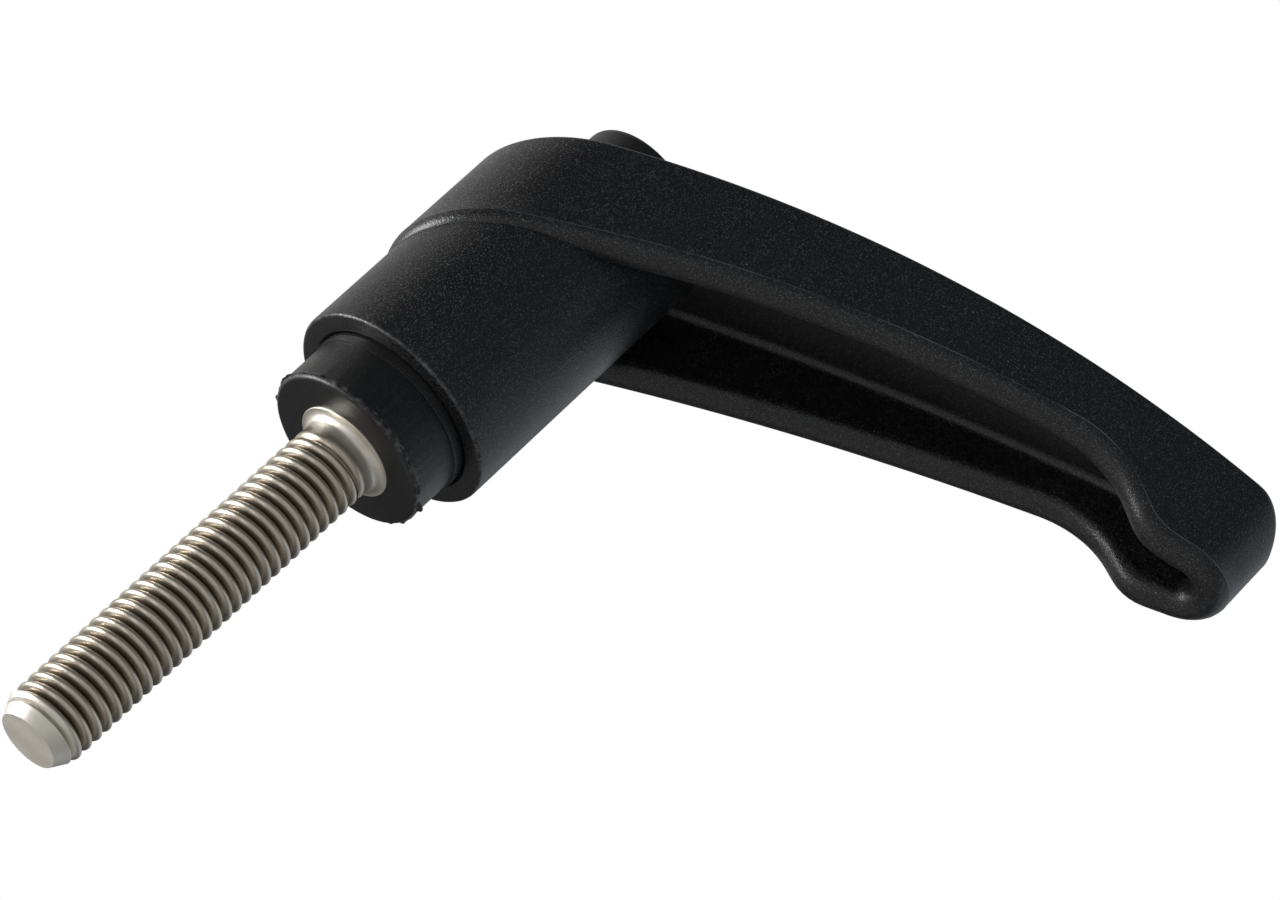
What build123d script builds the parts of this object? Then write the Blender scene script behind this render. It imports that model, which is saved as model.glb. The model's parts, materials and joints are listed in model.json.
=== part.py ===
from build123d import *
import os
from math import asin, atan2, ceil, cos, degrees, hypot, radians, sin, sqrt

# An adjustable clamping lever: a moulded lever that indexes on a toothed threaded insert.
# Millimetres. Z is the clamping axis, with z = 0 on the seat face and the stud below it.
# The arm points along +X and rises. Heights are measured from the seat face.

# Threaded stud
THREAD_DIAMETER = 7.87        # over the crests of an M8 thread
THREAD_PITCH = 1.25           # the ridges are rings a pitch apart, in place of one helix
THREAD_DEPTH = 0.735
CREST_WIDTH = 0.2
ROOT_WIDTH = 0.2
STUD_LENGTH = 40.0            # from the seat face to the tip
NECK_LENGTH = 1.7             # unthreaded shank below the seat face
RUN_OUT = 3.1                 # over which the thread's grooves get shallower
TIP_FACE_DIAMETER = 5.9
TIP_CHAMFER_LENGTH = 1.9
COLLAR_DIAMETER = 9.78
COLLAR_RIM = 0.155            # flat rim of the seat face outside the flare
COLLAR_FLARE = (COLLAR_DIAMETER - THREAD_DIAMETER) / 2 - COLLAR_RIM
COLLAR_LENGTH = 3.0
KEY_WIDTH = 10.2              # across the flats of the keyed head inside the sleeve
KEY_LENGTH = 10.0
TAP_DIAMETER = 4.0            # tapped hole for the retaining screw
TAP_DEPTH = 9.0

# Toothed sleeve, moulded round the stud's head
SLEEVE_DIAMETER = 16.7
SLEEVE_TOP = 17.0
FOOT_DIAMETER = 16.4          # the part that shows below the hub
FOOT_TOP = 5.2
SLEEVE_SETBACK = 0.15         # the steel collar stands this proud of the plastic
SLEEVE_EDGE = 0.5
TOOTH_COUNT = 24
TOOTH_DEPTH = 0.85
TOOTH_LENGTH = 4.5
TOOTH_TIP_ANGLE = 4.0         # degrees that a flat tooth tip covers
TOOTH_ROOT_ANGLE = 4.4
TOOTH_PLAY_ANGLE = 0.7        # degrees of play on each flank

# Lever: hub
HUB_DIAMETER = 20.84
HUB_BOTTOM = 6.2
HUB_EDGE = 0.35
RUNNING_CLEARANCE = 0.06      # radial, sleeve in bore and screw in web
TOOTH_ENTRY = 0.3             # the lever's teeth start this far above the sleeve's
WEB_GAP = 0.3                 # between the sleeve's top and the web at rest
WEB_THICKNESS = 3.0
WELL_CLEARANCE = 0.25         # radial, button in its well
WELL_EDGE = 0.4

# Lever: arm, one hollow channel moulding with the hub
BACK_RADIUS = 11.0
TIP_RADIUS = 5.33
TIP_X = 61.2                  # centre of the tip arc
SIDE_RADIUS = 292.0
WALL = 3.42
RIM_RADIUS = 1.69             # the open edge is a full round
CROWN_WALL = 2.8
CROWN_RADIUS = 180.0          # top face, seen from the side
CROWN_CENTRE = (73.06, -128.8)
CROWN_EDGE = 0.6
CORNER_RADIUS = 3.9           # top corner of the tip, seen from the side
CORNER_OVERRUN = 0.35         # the corner's arc ends this far past the tip
BELLY_RADIUS = 179.3          # middle of the rim, seen from the side
BELLY_CENTRE = (89.96, -130.6)
BELLY_END_X = 46.9
CREST_RADIUS = 11.2           # the rim then turns down over a crest
CREST_DROP = 30.0             # degrees
DROP_LENGTH = 1.4
HEEL_RADIUS = 5.1             # and up again round the heel
HEEL_RISE = 12.4              # degrees
CHANNEL_FILLET = 1.0          # where the channel's walls meet its roof

# Retaining screw
SHOULDER_DIAMETER = 5.0
SCREW_HEAD_DIAMETER = 9.0
SCREW_HEAD_HEIGHT = 4.0
SCREW_HEAD_EDGE = 0.4
SCREW_HEAD_Z = 33.2           # underside of the head
SOCKET_WIDTH = 3.0
SOCKET_DEPTH = 2.0
SCREW_END_GAP = 0.8           # below the screw in the tapped hole

# Return spring
SPRING_DIAMETER = 7.2         # outside the coil
WIRE_DIAMETER = 0.7
SPRING_TURNS = 7.5

# Push button
BUTTON_DIAMETER = 12.0
BUTTON_TOP = 41.5
BUTTON_BOTTOM = 28.0
BUTTON_EDGE = 0.8
BUTTON_DOME = 0.3
BUTTON_WALL = 1.25
SNAP_LIP = 0.7
SPRING_CLEARANCE = 0.15       # radial, spring through the button's lip
HEAD_CLEARANCE = 0.05

TOUCH = 0.01                  # edges closer than this to a line lie on it

# Sizes that follow
STUD_TOP = SLEEVE_TOP
WEB_BOTTOM = SLEEVE_TOP + WEB_GAP
WEB_TOP = WEB_BOTTOM + WEB_THICKNESS
TOOTH_BOTTOM = SLEEVE_TOP - TOOTH_LENGTH
WELL_RADIUS = BUTTON_DIAMETER / 2 + WELL_CLEARANCE
BORE_RADIUS = SLEEVE_DIAMETER / 2 + RUNNING_CLEARANCE
TIP_END = TIP_X + TIP_RADIUS
LEFT, RIGHT = -BACK_RADIUS - 1, TIP_END + CORNER_OVERRUN
REACH = TIP_END + BACK_RADIUS
SKY = CROWN_CENTRE[1] + CROWN_RADIUS + REACH


def rod(radius, low, high):
    """Upright cylinder on the clamping axis."""
    return Pos(0, 0, low) * Cylinder(radius, high - low, align=(Align.CENTER, Align.CENTER, Align.MIN))


def prism(outline, low, high):
    """Upright prism of a flat outline."""
    return Pos(0, 0, low) * extrude(outline, high - low, dir=(0, 0, 1))


def turned(points):
    """Solid turned about the clamping axis from (radius, height) points."""
    profile = make_face(Polyline(*[(r, 0, z) for r, z in points], close=True))
    return revolve(profile, Axis.Z)


def rings(body, radius):
    """The round edges of this radius."""
    return body.edges().filter_by(GeomType.CIRCLE).filter_by(lambda e: abs(e.radius - radius) < TOUCH)


def circle_height(centre, radius, x):
    """Height of the upper side of a circle at x."""
    return centre[1] + sqrt(radius ** 2 - (x - centre[0]) ** 2)


# ---- threaded stud -------------------------------------------------------------------

def threaded_stud():
    """Stainless stud: threaded shank, seat collar and the keyed head that the sleeve grips."""
    shank = THREAD_DIAMETER / 2
    head = turned([
        (0, -NECK_LENGTH),
        (shank, -NECK_LENGTH),
        (shank, 0),
        (COLLAR_DIAMETER / 2, 0),
        (COLLAR_DIAMETER / 2, STUD_TOP),
        (0, STUD_TOP),
    ])
    head = fillet(rings(head, shank).sort_by(Axis.Z)[-1], COLLAR_FLARE) + keyed_head()
    return threaded_shank() + head - rod(TAP_DIAMETER / 2, STUD_TOP - TAP_DEPTH, STUD_TOP)


def threaded_shank():
    """Shank below the neck: a ridge at each pitch, a chamfered tip and grooves that run out upwards."""
    shank = THREAD_DIAMETER / 2
    core = shank - THREAD_DEPTH
    face = TIP_FACE_DIAMETER / 2
    spread = shank - face
    run_out = turned([
        (0, -NECK_LENGTH - RUN_OUT),
        (core, -NECK_LENGTH - RUN_OUT),
        (shank, -NECK_LENGTH),
        (0, -NECK_LENGTH),
    ])
    envelope = turned([
        (0, -STUD_LENGTH),
        (face, -STUD_LENGTH),
        (face + 2 * spread, -STUD_LENGTH + 2 * TIP_CHAMFER_LENGTH),
        (face + 2 * spread, 0),
        (0, 0),
    ])
    return (ridged_rod(core, shank) + run_out) & envelope


def ridged_rod(core, crest):
    """Rod with a row of thread ridges, from below the tip up to the neck."""
    foot_half = (THREAD_PITCH - ROOT_WIDTH) / 2
    crest_half = CREST_WIDTH / 2
    count = ceil((STUD_LENGTH - NECK_LENGTH) / THREAD_PITCH) + 1
    points = [(0, -NECK_LENGTH), (core, -NECK_LENGTH)]
    for number in range(count):
        middle = -NECK_LENGTH - (number + 0.5) * THREAD_PITCH
        points += [
            (core, middle + foot_half),
            (crest, middle + crest_half),
            (crest, middle - crest_half),
            (core, middle - foot_half),
        ]
    low = -NECK_LENGTH - count * THREAD_PITCH
    return turned([*points, (core, low), (0, low)])


def keyed_head():
    """Hexagon on the stud's head, which keeps it from turning in the sleeve."""
    flats = RegularPolygon(KEY_WIDTH / 2, 6, major_radius=False)
    return prism(flats, COLLAR_LENGTH, COLLAR_LENGTH + KEY_LENGTH)


# ---- toothed sleeve ------------------------------------------------------------------

def tooth_outline(tip, root, play):
    """Ring of teeth. Play widens each tooth by that many degrees on either flank."""
    pitch = 360 / TOOTH_COUNT
    tip_half = TOOTH_TIP_ANGLE / 2 + play
    root_half = TOOTH_ROOT_ANGLE / 2 - play
    points = []
    for tooth in range(TOOTH_COUNT):
        middle = tooth * pitch
        corners = [
            (tip, middle - tip_half),
            (tip, middle + tip_half),
            (root, middle + pitch / 2 - root_half),
            (root, middle + pitch / 2 + root_half),
        ]
        points += [(r * cos(radians(a)), r * sin(radians(a))) for r, a in corners]
    return make_face(Polyline(*points, close=True))


def toothed_sleeve():
    """Moulded sleeve with a ring of teeth round its upper end."""
    radius = SLEEVE_DIAMETER / 2
    foot = rod(FOOT_DIAMETER / 2, SLEEVE_SETBACK, FOOT_TOP)
    foot = fillet(foot.edges().sort_by(Axis.Z)[0], SLEEVE_EDGE)
    body = foot + rod(radius, FOOT_TOP, SLEEVE_TOP)
    teeth = tooth_outline(radius, radius - TOOTH_DEPTH, 0)
    body -= rod(radius + 1, TOOTH_BOTTOM, SLEEVE_TOP) - prism(teeth, TOOTH_BOTTOM, SLEEVE_TOP)
    body -= rod(COLLAR_DIAMETER / 2, 0, SLEEVE_TOP)
    return body - keyed_head()


# ---- lever body ----------------------------------------------------------------------

def plan_outline(inset):
    """Outline of the arm from above, pulled in by inset: back arc, long side arcs, tip arc."""
    to_back = SIDE_RADIUS - BACK_RADIUS
    to_tip = SIDE_RADIUS - TIP_RADIUS
    centre_x = (to_back ** 2 - to_tip ** 2 + TIP_X ** 2) / (2 * TIP_X)
    centre_y = -sqrt(to_back ** 2 - centre_x ** 2)
    back_angle = atan2(-centre_y, -centre_x)
    tip_angle = atan2(-centre_y, TIP_X - centre_x)
    back, tip, side = BACK_RADIUS - inset, TIP_RADIUS - inset, SIDE_RADIUS - inset

    def side_point(angle):
        return centre_x + side * cos(angle), centre_y + side * sin(angle)

    start = side_point(back_angle)
    middle = side_point((back_angle + tip_angle) / 2)
    end = side_point(tip_angle)
    outline = [
        ThreePointArc((start[0], -start[1]), (-back, 0), start),
        ThreePointArc(start, middle, end),
        ThreePointArc(end, (TIP_X + tip, 0), (end[0], -end[1])),
        ThreePointArc((end[0], -end[1]), (middle[0], -middle[1]), (start[0], -start[1])),
    ]
    return make_face(outline)


def crown_line(inset, left, right):
    """Arc of the top face from the side, moved down by inset."""
    radius = CROWN_RADIUS - inset
    points = [(x, circle_height(CROWN_CENTRE, radius, x)) for x in (left, (left + right) / 2, right)]
    return ThreePointArc(*points)


def rim_line(drop, left, right):
    """Open edge of the channel from the side, moved down by drop: belly, crest, heel and rise."""
    cx, cz = BELLY_CENTRE
    belly, crest, heel = BELLY_RADIUS - drop, CREST_RADIUS - drop, HEEL_RADIUS + drop
    end_tilt = asin((BELLY_END_X - cx) / BELLY_RADIUS)
    end = cx + belly * sin(end_tilt), cz + belly * cos(end_tilt)
    slope = -degrees(end_tilt)
    start_z = circle_height(BELLY_CENTRE, belly, left)
    heading = (cos(radians(slope)), sin(radians(slope)))
    belly_arc = TangentArc(end, (left, start_z), tangent=(-heading[0], -heading[1]))
    crest_arc = JernArc(end, heading, crest, -(slope + CREST_DROP))
    fall = Line(crest_arc @ 1, crest_arc @ 1 + (crest_arc % 1) * DROP_LENGTH)
    heel_arc = JernArc(fall @ 1, fall % 1, heel, CREST_DROP + HEEL_RISE)
    out = heel_arc @ 1
    rise = Line(out, (right, out.Y + (right - out.X) * (heel_arc % 1).Y / (heel_arc % 1).X))
    return [belly_arc, crest_arc, fall, heel_arc, rise]


def side_profile():
    """Outline of the band from the side, with the tip's top corner rounded."""
    crown = crown_line(0, LEFT, RIGHT)
    rim = rim_line(RIM_RADIUS, LEFT, RIGHT)
    front = Line(rim[-1] @ 1, crown @ 1)
    back = Line(crown @ 0, rim[0] @ 1)
    face = make_face([crown, *rim, front, back])
    corner = face.vertices().sort_by(Axis.X)[-2:].sort_by(Axis.Y)[-1]
    return fillet(corner, CORNER_RADIUS)


def across(face):
    """Sweep a side-view face right across the arm."""
    upright = Plane.XZ * face
    return extrude(upright, REACH, both=True)


def under_crown(inset):
    """Everything below the top face, moved down by inset."""
    crown = crown_line(inset, LEFT, RIGHT)
    floor = -REACH
    border = Polyline(crown @ 1, (RIGHT, floor), (LEFT, floor), crown @ 0)
    return across(make_face([crown, border]))


def is_upright(edge):
    """Does this edge stay at one distance along the arm?"""
    return edge.bounding_box().size.X < TOUCH


def on_line(edge, lines):
    """Does this edge follow one of the side-view lines, as against crossing the arm?"""
    if is_upright(edge):
        return False
    points = [edge @ share for share in (0, 0.25, 0.5, 0.75, 1)]
    return all(min(line.distance_to((p.X, p.Z, 0)) for line in lines) < TOUCH for p in points)


def arm_shell():
    """The arm as a channel with a closed top and a fully rounded open edge."""
    profile = side_profile()
    rim = rim_line(RIM_RADIUS, LEFT, RIGHT)
    rim_top = max((line @ 0.5).Y for line in rim)
    crown = [e for e in profile.edges() if (e @ 0.5).Y > rim_top + TOUCH and not is_upright(e)]
    band = across(profile) & prism(plan_outline(0), 0, SKY)
    band = fillet([e for e in band.edges() if on_line(e, crown)], CROWN_EDGE)
    channel = under_crown(CROWN_WALL) & prism(plan_outline(WALL), 0, SKY)
    roof = channel.faces().sort_by(Axis.Z)[-1]
    shell = band - fillet(roof.edges(), CHANNEL_FILLET)
    return fillet([e for e in shell.edges() if on_line(e, rim)], RIM_RADIUS)


def hub():
    """Solid core of the hub, up into the roof of the arm."""
    core = rod(HUB_DIAMETER / 2, HUB_BOTTOM, SKY) & under_crown(CROWN_WALL / 2)
    return fillet(core.edges().sort_by(Axis.Z)[0], HUB_EDGE)


def bore():
    """Space inside the hub: smooth bore, toothed bore, screw hole in the web and button well."""
    smooth_top = TOOTH_BOTTOM + TOOTH_ENTRY
    teeth = tooth_outline(BORE_RADIUS, BORE_RADIUS - TOOTH_DEPTH, TOOTH_PLAY_ANGLE)
    space = rod(BORE_RADIUS, HUB_BOTTOM, smooth_top)
    space += prism(teeth, smooth_top, WEB_BOTTOM)
    space += rod(SHOULDER_DIAMETER / 2 + RUNNING_CLEARANCE, WEB_BOTTOM, WEB_TOP)
    return space + rod(WELL_RADIUS, WEB_TOP, SKY)


def lever_body():
    """Lever moulding: arm channel and hub, with the toothed bore, web and button well."""
    body = arm_shell() + hub() - bore()
    mouth = [e for e in body.edges() if on_well_mouth(e)]
    return fillet(mouth, WELL_EDGE)


def on_well_mouth(edge):
    """Is this edge where the well opens through the crown?"""
    points = [edge @ share for share in (0, 0.25, 0.5, 0.75, 1)]
    above_web = min(p.Z for p in points) > WEB_TOP + TOUCH
    return above_web and all(abs(hypot(p.X, p.Y) - WELL_RADIUS) < TOUCH for p in points)


# ---- screw, spring and button --------------------------------------------------------

def retaining_screw():
    """Shoulder screw that holds the lever on the stud, with a hexagon socket in its head."""
    head_top = SCREW_HEAD_Z + SCREW_HEAD_HEIGHT
    body = rod(TAP_DIAMETER / 2, STUD_TOP - TAP_DEPTH + SCREW_END_GAP, STUD_TOP)
    body += rod(SHOULDER_DIAMETER / 2, STUD_TOP, SCREW_HEAD_Z)
    head = rod(SCREW_HEAD_DIAMETER / 2, SCREW_HEAD_Z, head_top)
    body += fillet(head.edges().sort_by(Axis.Z)[-1], SCREW_HEAD_EDGE)
    socket = RegularPolygon(SOCKET_WIDTH / 2, 6, major_radius=False)
    return body - prism(socket, head_top - SOCKET_DEPTH, head_top)


def return_spring():
    """Coil spring between the lever's web and the screw's head."""
    rise = SCREW_HEAD_Z - WEB_TOP - WIRE_DIAMETER
    coil_radius = (SPRING_DIAMETER - WIRE_DIAMETER) / 2
    coil = Pos(0, 0, WEB_TOP + WIRE_DIAMETER / 2) * Helix(rise / SPRING_TURNS, rise, coil_radius)
    wire = Plane(coil @ 0, z_dir=coil % 0) * Circle(WIRE_DIAMETER / 2)
    return sweep(wire, path=coil, is_frenet=True)


def push_button():
    """Button cap snapped over the screw's head, with a domed top."""
    outer = BUTTON_DIAMETER / 2
    lip_top = SCREW_HEAD_Z - HEAD_CLEARANCE
    head_roof = SCREW_HEAD_Z + SCREW_HEAD_HEIGHT + HEAD_CLEARANCE
    shoulder_z = BUTTON_TOP - BUTTON_DOME
    side = Polyline((0, 0, BUTTON_BOTTOM), (outer, 0, BUTTON_BOTTOM), (outer, 0, shoulder_z))
    dome = TangentArc((0, 0, BUTTON_TOP), (outer, 0, shoulder_z), tangent=(1, 0, 0))
    axis_line = Line((0, 0, BUTTON_TOP), (0, 0, BUTTON_BOTTOM))
    cap = revolve(make_face([*side.edges(), dome, axis_line]), Axis.Z)
    cap = fillet(rings(cap, outer).sort_by(Axis.Z)[-1], BUTTON_EDGE)
    cap -= rod(outer - BUTTON_WALL, BUTTON_BOTTOM, lip_top - SNAP_LIP)
    cap -= rod(SPRING_DIAMETER / 2 + SPRING_CLEARANCE, BUTTON_BOTTOM, lip_top)
    return cap - rod(SCREW_HEAD_DIAMETER / 2 + HEAD_CLEARANCE, lip_top, head_roof)


PIECES = [threaded_stud, toothed_sleeve, lever_body, retaining_screw, return_spring, push_button]


def main():
    """Write each piece to its own file, named after it."""
    os.makedirs("parts", exist_ok=True)
    for make in PIECES:
        piece = make()
        piece.label = make.__name__
        export_step(piece, f"parts/{make.__name__}.step")


main()
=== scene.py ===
"""Looks of an adjustable clamping lever, built round its packed construction.

Every length is in metres and every piece lies in the construction's own frame: Z is the clamping
axis with the seat face at zero and the stud below it, and the arm points along +X and rises.
"""

import json
import logging
import math
from dataclasses import dataclass, field
from enum import Enum
from typing import ClassVar

import bmesh
import bpy
from mathutils import Matrix, Vector, noise


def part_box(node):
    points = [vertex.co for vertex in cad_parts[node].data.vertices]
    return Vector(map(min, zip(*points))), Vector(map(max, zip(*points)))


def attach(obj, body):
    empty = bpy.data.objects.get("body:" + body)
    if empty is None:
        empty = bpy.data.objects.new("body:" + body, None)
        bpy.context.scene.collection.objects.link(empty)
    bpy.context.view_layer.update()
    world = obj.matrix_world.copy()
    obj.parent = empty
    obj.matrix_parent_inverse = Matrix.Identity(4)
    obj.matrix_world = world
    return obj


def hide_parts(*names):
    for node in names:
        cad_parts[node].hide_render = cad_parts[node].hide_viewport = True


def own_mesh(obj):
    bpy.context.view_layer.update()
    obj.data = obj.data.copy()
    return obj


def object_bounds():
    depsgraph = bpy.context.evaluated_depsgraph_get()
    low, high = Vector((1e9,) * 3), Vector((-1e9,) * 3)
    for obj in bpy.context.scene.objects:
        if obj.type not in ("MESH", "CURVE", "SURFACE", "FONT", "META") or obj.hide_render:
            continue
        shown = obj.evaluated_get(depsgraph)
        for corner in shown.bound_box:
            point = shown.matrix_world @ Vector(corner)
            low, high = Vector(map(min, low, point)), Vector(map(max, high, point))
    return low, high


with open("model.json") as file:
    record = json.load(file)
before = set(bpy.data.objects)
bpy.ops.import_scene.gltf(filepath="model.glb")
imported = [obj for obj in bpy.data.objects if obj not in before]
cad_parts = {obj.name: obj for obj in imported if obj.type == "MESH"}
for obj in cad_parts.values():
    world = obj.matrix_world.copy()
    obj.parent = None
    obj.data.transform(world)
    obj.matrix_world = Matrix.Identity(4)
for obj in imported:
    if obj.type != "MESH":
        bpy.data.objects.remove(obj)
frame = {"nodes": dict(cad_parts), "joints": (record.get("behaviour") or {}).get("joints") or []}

log = logging.getLogger("clamping_lever")

BMesh = bmesh.types.BMesh
Colour = tuple[float, float, float]
Material = bpy.types.Material
Piece = bpy.types.Object
Points = list[tuple[float, float]]
Socket = bpy.types.NodeSocket
Tree = bpy.types.NodeTree

MM = 0.001
FULL_TURN = 2 * math.pi
MERGE = 1e-7
CAD_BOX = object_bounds()

WHITE: Colour = (1.0, 1.0, 1.0)
COOL: Colour = (0.86, 0.93, 1.0)
BLACK: Colour = (0.0007, 0.0008, 0.0010)

TOOTH_COUNT = 24
TOOTH_DEPTH = 0.85 * MM
TIP_HALF_ANGLE = 2.0
ROOT_HALF_ANGLE = 2.2

CREST_FINENESS = 1.35
FIBRE_TURN = (0.6, 0.9, 0.4)
FIBRE_STRETCH = (1.0, 0.12, 1.0)
FIBRE_SHARE = 0.35
NECK_GAIN = 900.0


# ---- curves and small maths

def smoothstep(low: float, high: float, value: float) -> float:
    """Smooth rise from 0 at low to 1 at high."""
    share = min(1.0, max(0.0, (value - low) / (high - low)))
    return share * share * (3 - 2 * share)


def arc(centre: tuple[float, float], radius: float, start: float, end: float, count: int) -> Points:
    """Points on an arc.

    Args:
        centre: Middle of the arc in its own plane.
        radius: Radius in metres.
        start: First angle in degrees.
        end: Last angle in degrees.
        count: How many steps the arc is cut into.

    Returns:
        count + 1 points from start to end.
    """
    angles = [math.radians(start + (end - start) * i / count) for i in range(count + 1)]
    return [(centre[0] + radius * math.cos(a), centre[1] + radius * math.sin(a)) for a in angles]


def over(centre: tuple[float, float], radius: float, x: float) -> float:
    """Height of the upper side of a circle at x."""
    return centre[1] + math.sqrt(radius ** 2 - (x - centre[0]) ** 2)


def ripple(place: Vector, scale: float) -> float:
    """Seedless smooth noise between about -1 and 1, with features 1 / scale metres wide."""
    return noise.noise(place * scale)


def flat(place: Vector) -> Vector:
    """A place moved along the clamping axis to height zero."""
    return Vector((place.x, place.y, 0))


def key(place: Vector) -> tuple[float, ...]:
    """A place rounded, so that it can be looked up."""
    return tuple(round(c, 8) for c in place)


# ---- mesh helpers

def verts_in(geom: list) -> list:
    """The vertices among some geometry."""
    return [g for g in geom if isinstance(g, bmesh.types.BMVert)]


def open_edges(geom: list) -> list:
    """The edges among some geometry that bound one face only."""
    return [g for g in geom if isinstance(g, bmesh.types.BMEdge) and len(g.link_faces) == 1]


def add_chain(bm: BMesh, points: list[Vector], closed: bool = False) -> list:
    """Add vertices joined by edges.

    Args:
        bm: Where they go.
        points: Their places in order.
        closed: Join the last to the first.

    Returns:
        The edges.
    """
    verts = [bm.verts.new(p) for p in points]
    pairs = list(zip(verts, verts[1:]))
    if closed:
        pairs.append((verts[-1], verts[0]))
    return [bm.edges.new(pair) for pair in pairs]


def spin(bm: BMesh, steps: int, angle: float = FULL_TURN, rise: float = 0.0,
         merge: bool = False) -> None:
    """Sweep a whole bmesh round the clamping axis.

    Args:
        bm: What is swept.
        steps: How many steps the sweep takes.
        angle: How far it turns, in radians.
        rise: How far each step climbs.
        merge: Join the end of a full turn to its start.
    """
    bmesh.ops.spin(bm, geom=list(bm.verts) + list(bm.edges), axis=(0, 0, 1), cent=(0, 0, 0),
                   dvec=(0, 0, rise), angle=angle, steps=steps, use_merge=merge, use_duplicate=False)


def close_mesh(bm: BMesh) -> BMesh:
    """Merge doubled vertices and turn every face outwards.

    Args:
        bm: What is changed.

    Returns:
        The same bmesh.
    """
    bmesh.ops.remove_doubles(bm, verts=bm.verts, dist=MERGE)
    bmesh.ops.recalc_face_normals(bm, faces=bm.faces)
    return bm


def lathe(profile: Points, steps: int, closed: bool = False) -> BMesh:
    """Turn a profile about the clamping axis.

    Args:
        profile: (radius, height) points in order.
        steps: Divisions of the full turn.
        closed: Join the last point to the first, as for a ring.

    Returns:
        A bmesh of the turned surface with its normals outwards.
    """
    bm = bmesh.new()
    add_chain(bm, [Vector((r, 0, z)) for r, z in profile], closed)
    spin(bm, steps, merge=True)
    return close_mesh(bm)


def toothed_prism(tip: float, play: float, low: float, high: float) -> BMesh:
    """Upright ring of teeth as a solid prism.

    Args:
        tip: Radius over the teeth.
        play: Degrees by which each tooth is widened on either flank.
        low: Bottom of the prism.
        high: Top of the prism.

    Returns:
        The prism as a closed bmesh.
    """
    pitch = 360 / TOOTH_COUNT
    bm = bmesh.new()
    points = []
    for tooth in range(TOOTH_COUNT):
        for radius, middle, half in ((tip, tooth * pitch, TIP_HALF_ANGLE + play),
                                     (tip - TOOTH_DEPTH, (tooth + 0.5) * pitch, ROOT_HALF_ANGLE - play)):
            for turn in (math.radians(middle - half), math.radians(middle + half)):
                points.append(Vector((radius * math.cos(turn), radius * math.sin(turn), low)))
    face = bmesh.ops.contextual_create(bm, geom=add_chain(bm, points, closed=True))["faces"]
    made = bmesh.ops.extrude_face_region(bm, geom=face, use_keep_orig=True)["geom"]
    bmesh.ops.translate(bm, verts=verts_in(made), vec=(0, 0, high - low))
    bmesh.ops.recalc_face_normals(bm, faces=bm.faces)
    return bm


def join_mesh(target: BMesh, extra: BMesh) -> None:
    """Add one bmesh's geometry to another.

    Args:
        target: What it is added to.
        extra: What is added, which is freed.
    """
    mesh = bpy.data.meshes.new("join")
    extra.to_mesh(mesh)
    extra.free()
    target.from_mesh(mesh)
    bpy.data.meshes.remove(mesh)


def make_object(name: str, bm: BMesh) -> Piece:
    """Put a bmesh into a new object at the origin.

    Args:
        name: Name of the object.
        bm: Its mesh, which is freed.

    Returns:
        The object.
    """
    mesh = bpy.data.meshes.new(name)
    bm.to_mesh(mesh)
    bm.free()
    piece = bpy.data.objects.new(name, mesh)
    bpy.context.scene.collection.objects.link(piece)
    return piece


def smooth(piece: Piece, sharp_angle: float) -> None:
    """Shade a piece smooth.

    Args:
        piece: What is shaded.
        sharp_angle: Edges that turn by more degrees than this stay sharp.
    """
    bm = bmesh.new()
    bm.from_mesh(piece.data)
    limit = math.radians(sharp_angle)
    for face in bm.faces:
        face.smooth = True
    for edge in bm.edges:
        edge.smooth = len(edge.link_faces) == 2 and edge.calc_face_angle(0) < limit
    bm.to_mesh(piece.data)
    bm.free()


def dress(piece: Piece, material: Material) -> None:
    """Give a piece one material."""
    piece.data.materials.clear()
    piece.data.materials.append(material)


def make_piece(name: str, bm: BMesh, sharp_angle: float, material: Material) -> Piece:
    """Turn a bmesh into a shaded and dressed object.

    Args:
        name: Name of the object.
        bm: Its mesh, which is freed.
        sharp_angle: Edges that turn by more degrees than this stay sharp.
        material: Its finish.

    Returns:
        The object.
    """
    piece = make_object(name, bm)
    smooth(piece, sharp_angle)
    dress(piece, material)
    return piece


def keep_inside(piece: Piece, node: str) -> None:
    """Press whatever stands out of a CAD node's box back onto the box.

    Args:
        piece: What is pressed.
        node: The node's name.
    """
    low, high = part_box(node)
    for vert in piece.data.vertices:
        vert.co = Vector(min(max(c, a), b) for c, a, b in zip(vert.co, low, high))


class Cut(Enum):
    """What a boolean does with its tool."""

    JOIN = "UNION"
    REMOVE = "DIFFERENCE"


def carve(piece: Piece, tool: BMesh, cut: Cut) -> None:
    """Apply a boolean to a piece.

    Args:
        piece: What is changed.
        tool: The closed shape that is added or cut away, which is freed.
        cut: Which of the two.
    """
    cutter = make_object("cutter", tool)
    modifier = piece.modifiers.new("carve", "BOOLEAN")
    modifier.operation = cut.value
    modifier.solver = "EXACT"
    modifier.object = cutter
    graph = bpy.context.evaluated_depsgraph_get()
    mesh = bpy.data.meshes.new_from_object(piece.evaluated_get(graph))
    piece.modifiers.clear()
    old, piece.data = piece.data, mesh
    bpy.data.meshes.remove(old)
    bpy.data.objects.remove(cutter)


# ---- node trees

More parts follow.
